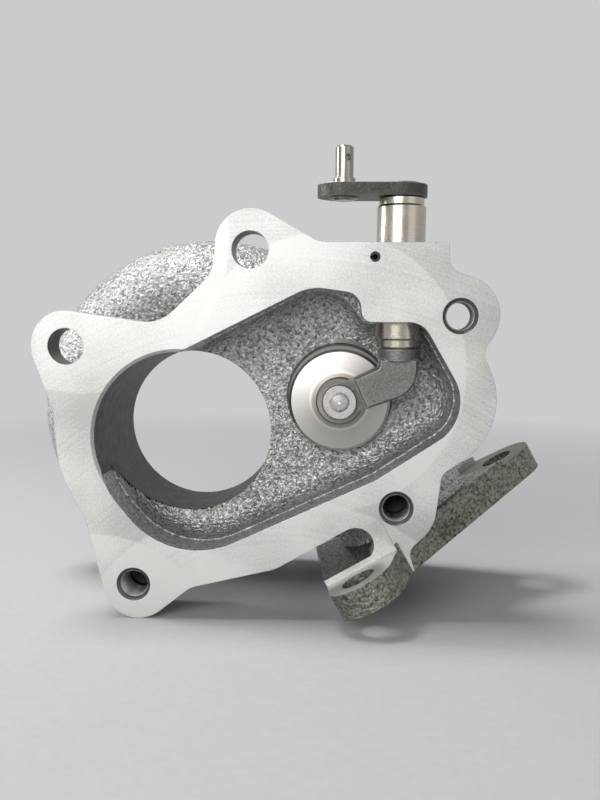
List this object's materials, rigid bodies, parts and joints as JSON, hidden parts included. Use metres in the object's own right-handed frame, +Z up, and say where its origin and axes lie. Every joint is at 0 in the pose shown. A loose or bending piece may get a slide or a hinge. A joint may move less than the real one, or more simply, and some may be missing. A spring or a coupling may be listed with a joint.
{
  "type": "turbocharger turbine housing with wastegate",
  "caption": "Cast turbine housing with scroll, outlet flange and pocket, inlet flange, and a swinging wastegate valve on a lever-driven shaft.",
  "frame": {"origin": "on the turbine wheel's axis, in the rear face that meets the bearing housing: the centre of the bearing register's mouth", "axes": "+Y along the wheel's axis towards the bearing housing, so the outlet face looks along -Y; +Z up along the wastegate shaft towards the actuator pin; +X to the right as seen from the outlet, along the flange's length"},
  "size_m": [0.1781, 0.1023, 0.1452],
  "materials": {
    "casting": "sand-cast skin with milled faces",
    "bushing": "turned",
    "spring_pin": "rolled",
    "dowel": "ground",
    "forging": "dark forged skin with bright edges",
    "lever_plate": "dark stamped plate",
    "pin": "turned bright",
    "weld": "weld bead",
    "valve": "turned, heat tinted",
    "washer": "turned bright"
  },
  "bodies": {
    "housing": {"turbine_housing": "casting", "wastegate_bushing": "bushing", "bushing_lock_pin": "spring_pin", "locating_pin": "dowel"},
    "swing_arm": {"swing_arm": "forging", "wastegate_lever": "lever_plate", "lever_pin": "pin", "lever_weld": "weld"},
    "valve": {"valve_disc": "valve", "valve_washer": "washer"}
  },
  "joints": [
    {"name": "wastegate_hinge", "type": "hinge", "parent": "housing", "child": "swing_arm", "pos_m": [0.0672, -0.0675, 0.05], "axis": [0, 0, 1], "range_deg": [0, 45]},
    {"name": "valve_spin", "type": "hinge", "parent": "swing_arm", "child": "valve", "pos_m": [0.049, -0.064, 0.0108], "axis": [0, 1, 0], "continuous": true}
  ]
}
